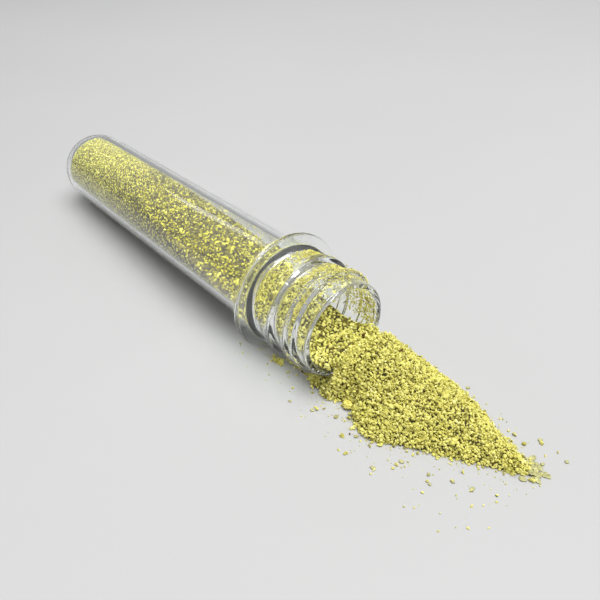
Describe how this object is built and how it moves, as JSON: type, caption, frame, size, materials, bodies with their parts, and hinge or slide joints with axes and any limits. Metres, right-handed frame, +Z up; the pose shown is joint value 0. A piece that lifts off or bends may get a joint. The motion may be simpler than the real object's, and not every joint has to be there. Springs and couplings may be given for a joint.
{
  "type": "sample vial",
  "caption": "Clear moulded sample vial lying on its side, its threaded mouth open, holding pale gold grains that run out into a long tapering heap.",
  "frame": {"origin": "under the middle of the whole object's box, on the surface that it lies on", "axes": "+X along the vial from its closed end to its mouth and the heap's tip, +Z up, +Y to the vial's left"},
  "size_m": [0.1952, 0.0406, 0.033],
  "materials": {
    "clear_plastic": "clear moulded plastic, gloss",
    "gold_grains": "matte loose grains",
    "gold_flake": "satin thin flakes"
  },
  "bodies": {
    "spill": {"gold_heap": "gold_grains", "nugget": "gold_flake", "tip_flake_01": "gold_flake", "tip_flake_02": "gold_flake", "tip_flake_03": "gold_flake", "loose_flake_01": "gold_flake", "loose_flake_02": "gold_flake", "loose_flake_03": "gold_flake", "loose_flake_04": "gold_flake", "loose_flake_05": "gold_flake", "loose_flake_06": "gold_flake", "loose_flake_07": "gold_flake", "loose_flake_08": "gold_flake", "loose_flake_09": "gold_flake", "loose_flake_10": "gold_flake", "loose_flake_11": "gold_flake", "loose_flake_12": "gold_flake", "loose_flake_13": "gold_flake", "loose_flake_14": "gold_flake"},
    "charge": {"gold_in_vial": "gold_grains"},
    "vial": {"vial_tube": "clear_plastic"}
  },
  "joints": [
    {"name": "draw_back", "type": "slide", "parent": "spill", "child": "charge", "axis": [-1, 0, 0], "range_m": [0, 0.045]},
    {"name": "roll", "type": "hinge", "parent": "charge", "child": "vial", "pos_m": [0.04619, -0.00383, 0.01738], "axis": [0.9992, 0, 0.0388], "continuous": true}
  ]
}
